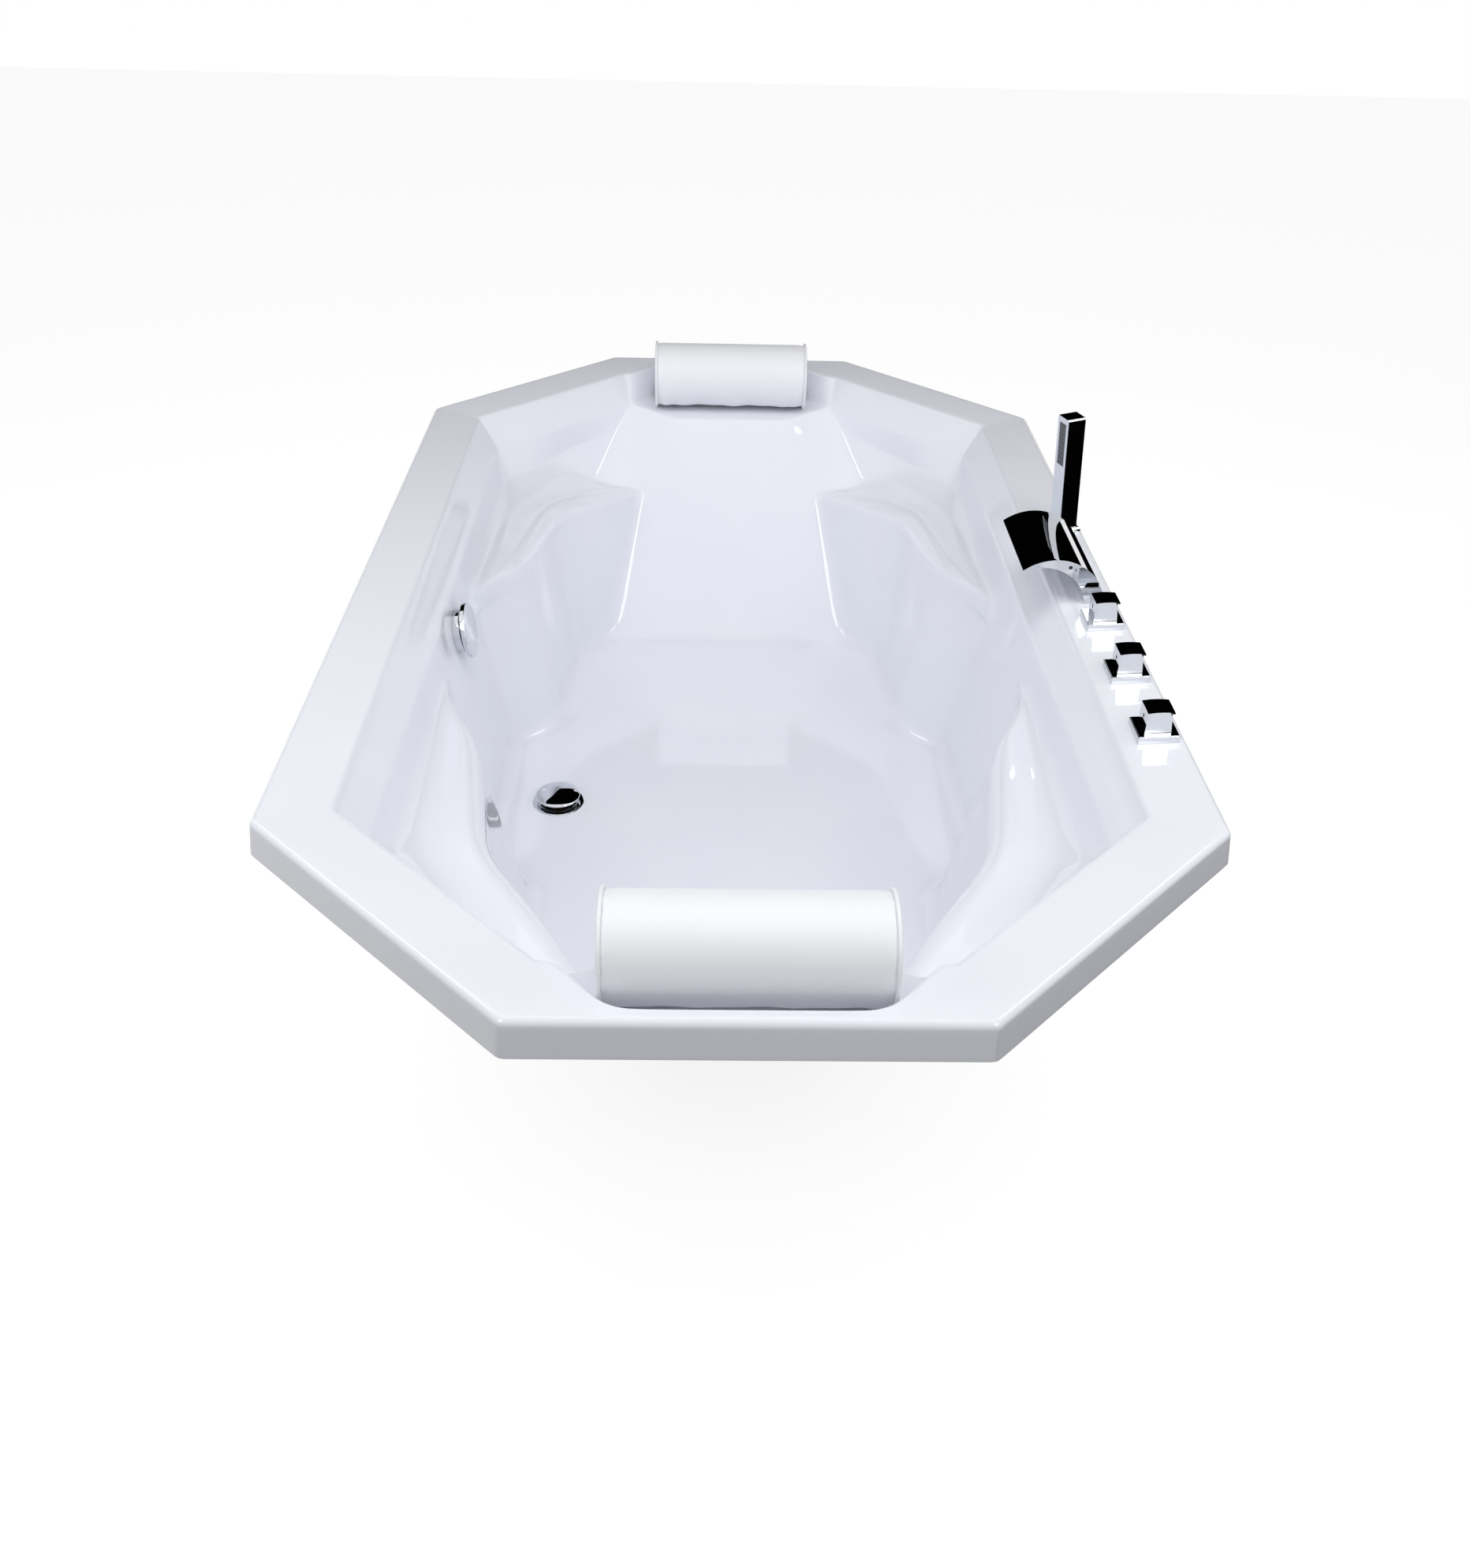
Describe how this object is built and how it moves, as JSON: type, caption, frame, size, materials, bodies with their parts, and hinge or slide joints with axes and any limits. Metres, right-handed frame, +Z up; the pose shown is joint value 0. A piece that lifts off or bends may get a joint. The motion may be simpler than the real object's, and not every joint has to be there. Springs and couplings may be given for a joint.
{
  "type": "bathtub",
  "caption": "Drop-in moulded bathtub with corner armrests, bolster pillows, pop-up waste, arched spout, hand shower and square knob taps.",
  "frame": {"origin": "on the floor, under the middle of the rim", "axes": "+Z up, +Y along the tub, +X towards the side that carries the taps"},
  "size_m": [1.048, 1.838, 0.7537],
  "materials": {
    "acrylic": "gloss moulded acrylic",
    "board": "raw chipboard",
    "leg_steel": "grey zinc paint",
    "zinc": "zinc-plated steel",
    "foot": "matte rubber",
    "chrome": "polished chrome",
    "seal": "matte rubber",
    "white_pipe": "white polypropylene",
    "brass": "machined brass",
    "dark_steel": "blackened steel",
    "nozzles": "grey silicone nozzle strip",
    "pillow": "soft white vinyl skin over foam"
  },
  "bodies": {
    "tub": {"tub_shell": "acrylic", "floor_board": "board", "leg_beams": "leg_steel", "beam_screws": "zinc", "foot_rods": "zinc", "foot_nuts": "zinc", "foot_pads": "foot", "waste_flange": "chrome", "waste_gasket": "seal", "waste_body": "white_pipe", "waste_nut": "white_pipe", "trap": "white_pipe", "trap_nut": "white_pipe", "overflow_drum": "chrome", "overflow_gasket": "seal", "overflow_body": "white_pipe", "overflow_screws": "zinc", "overflow_pipe": "white_pipe", "overflow_pipe_nut": "white_pipe", "spout": "chrome", "spout_shank": "brass", "spout_washer": "seal", "spout_nut": "brass", "spout_grub": "dark_steel", "shower_holder": "chrome", "shower_washer": "seal", "shower_nut": "brass", "diverter_base": "chrome", "diverter_valve": "brass", "hot_base": "chrome", "hot_valve": "brass", "cold_base": "chrome", "cold_valve": "brass", "valve_washers": "seal", "valve_nuts": "brass", "far_pillow": "pillow", "near_pillow": "pillow"},
    "plug": {"plug_cover": "chrome", "plug_seal": "seal", "plug_stem": "brass"},
    "overflow_control": {"overflow_knob": "chrome", "overflow_crank": "brass"},
    "hand_shower": {"shower_body": "chrome", "shower_face": "nozzles"},
    "diverter_control": {"diverter_spindle": "brass", "diverter_knob": "chrome", "diverter_grub": "dark_steel"},
    "hot_control": {"hot_spindle": "brass", "hot_knob": "chrome", "hot_grub": "dark_steel"},
    "cold_control": {"cold_spindle": "brass", "cold_knob": "chrome", "cold_grub": "dark_steel"}
  },
  "joints": [
    {"name": "diverter_turn", "type": "hinge", "parent": "tub", "child": "diverter_control", "pos_m": [0.485, -0.145, 0.57818], "axis": [-0.0698, 0, 0.9976], "range_deg": [0, 90]},
    {"name": "hot_turn", "type": "hinge", "parent": "tub", "child": "hot_control", "pos_m": [0.485, -0.282, 0.57818], "axis": [-0.0698, 0, 0.9976], "range_deg": [0, 90]},
    {"name": "cold_turn", "type": "hinge", "parent": "tub", "child": "cold_control", "pos_m": [0.485, -0.42, 0.57818], "axis": [-0.0698, 0, 0.9976], "range_deg": [-90, 0]},
    {"name": "overflow_turn", "type": "hinge", "parent": "tub", "child": "overflow_control", "pos_m": [-0.40006, 0, 0.472], "axis": [0.9881, 0, 0.1539], "range_deg": [0, 90]},
    {"name": "plug_lift", "type": "slide", "parent": "tub", "child": "plug", "axis": [0, 0, 1], "range_m": [-0.0081, 0]},
    {"name": "shower_pull", "type": "slide", "parent": "tub", "child": "hand_shower", "axis": [-0.0698, 0, 0.9976], "range_m": [0, 0.12]}
  ],
  "couplings": [
    {"joint": "plug_lift", "follows": "overflow_turn", "m_per_rad": -0.005092}
  ]
}
